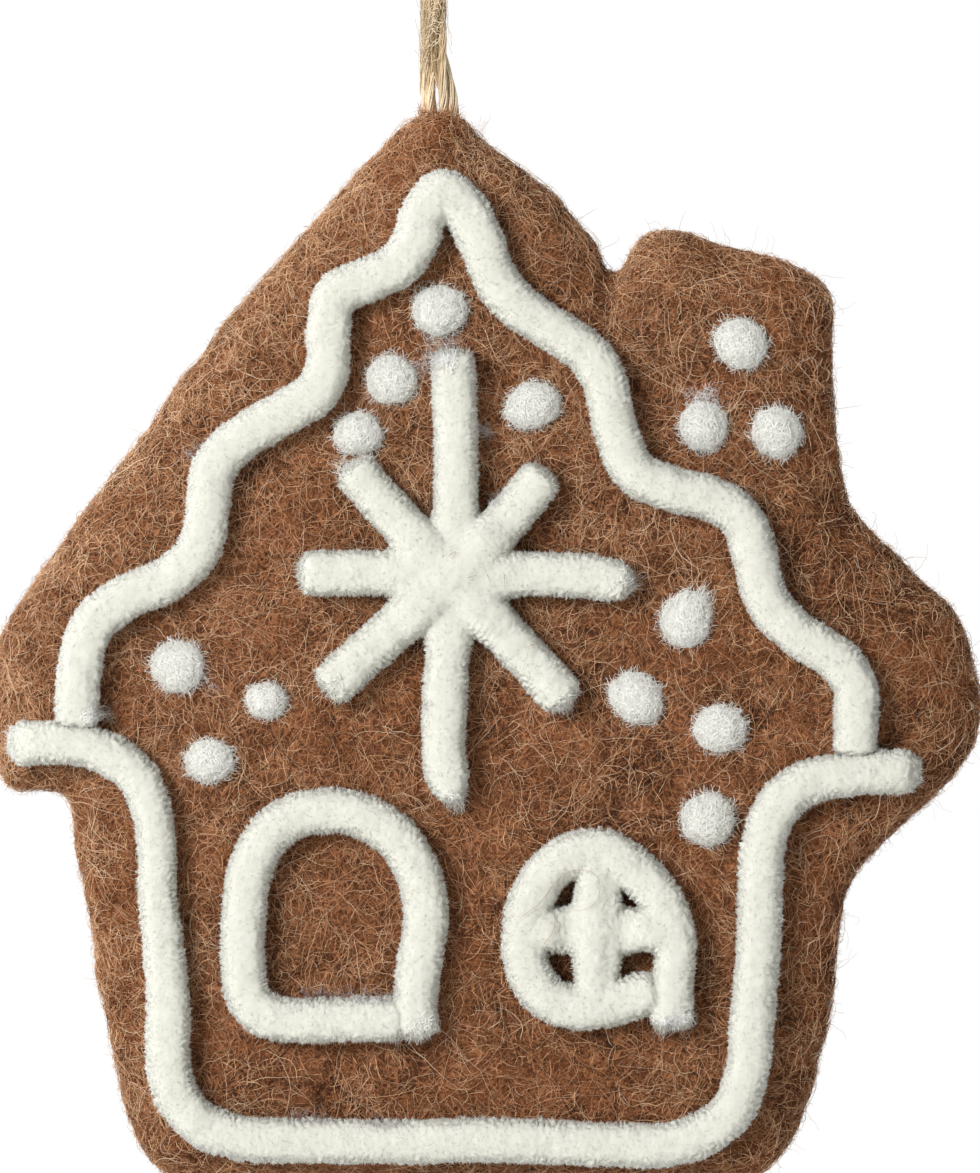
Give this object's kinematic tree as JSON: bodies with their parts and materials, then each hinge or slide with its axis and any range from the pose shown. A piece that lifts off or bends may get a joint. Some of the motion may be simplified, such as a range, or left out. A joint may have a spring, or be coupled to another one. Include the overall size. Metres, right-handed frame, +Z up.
{
  "type": "gingerbread house ornament",
  "caption": "Plump brown felt gingerbread house on a twine loop, with piped chenille icing, a star, a door, a window and white sugar dots on its front.",
  "frame": {"origin": "inside of the top bend of the twine loop, where a hook or twig holds the ornament", "axes": "+Z up along the hanging loop, +X to the right as seen by someone facing the decorated front, -Y out of that front"},
  "size_m": [0.112, 0.0199, 0.1868],
  "materials": {
    "felt": "matte brown wool felt with loose surface fibres",
    "wadding": "matte undyed core wool",
    "pile": "matte ivory cut pile",
    "binding": "matte twisted binder threads",
    "sugar": "matte needled white wool",
    "jute": "matte straw-coloured twine"
  },
  "bodies": {
    "hanger": {"twine_loop": "jute"},
    "house": {"front_felt": "felt", "back_felt": "felt", "wool_core": "wadding", "twine_tail": "jute", "roof_icing_pile": "pile", "wall_icing_pile": "pile", "door_icing_pile": "pile", "window_icing_pile": "pile", "window_cross_bar_pile": "pile", "window_upright_bar_pile": "pile", "star_upright_pile": "pile", "star_cross_pile": "pile", "star_diagonal_a_pile": "pile", "star_diagonal_b_pile": "pile", "roof_icing_core": "binding", "wall_icing_core": "binding", "door_icing_core": "binding", "window_icing_core": "binding", "window_cross_bar_core": "binding", "window_upright_bar_core": "binding", "star_upright_core": "binding", "star_cross_core": "binding", "star_diagonal_a_core": "binding", "star_diagonal_b_core": "binding", "sugar_dot_01": "sugar", "sugar_dot_02": "sugar", "sugar_dot_03": "sugar", "sugar_dot_04": "sugar", "sugar_dot_05": "sugar", "sugar_dot_06": "sugar", "sugar_dot_07": "sugar", "sugar_dot_08": "sugar", "sugar_dot_09": "sugar", "sugar_dot_10": "sugar", "sugar_dot_11": "sugar", "sugar_dot_12": "sugar", "sugar_dot_13": "sugar", "sugar_dot_14": "sugar"}
  },
  "joints": [
    {"name": "hanger_swing", "type": "hinge", "parent": "hanger", "child": "house", "pos_m": [0, 0, -0.06283], "axis": [1, 0, 0], "range_deg": [-85, 85]}
  ]
}
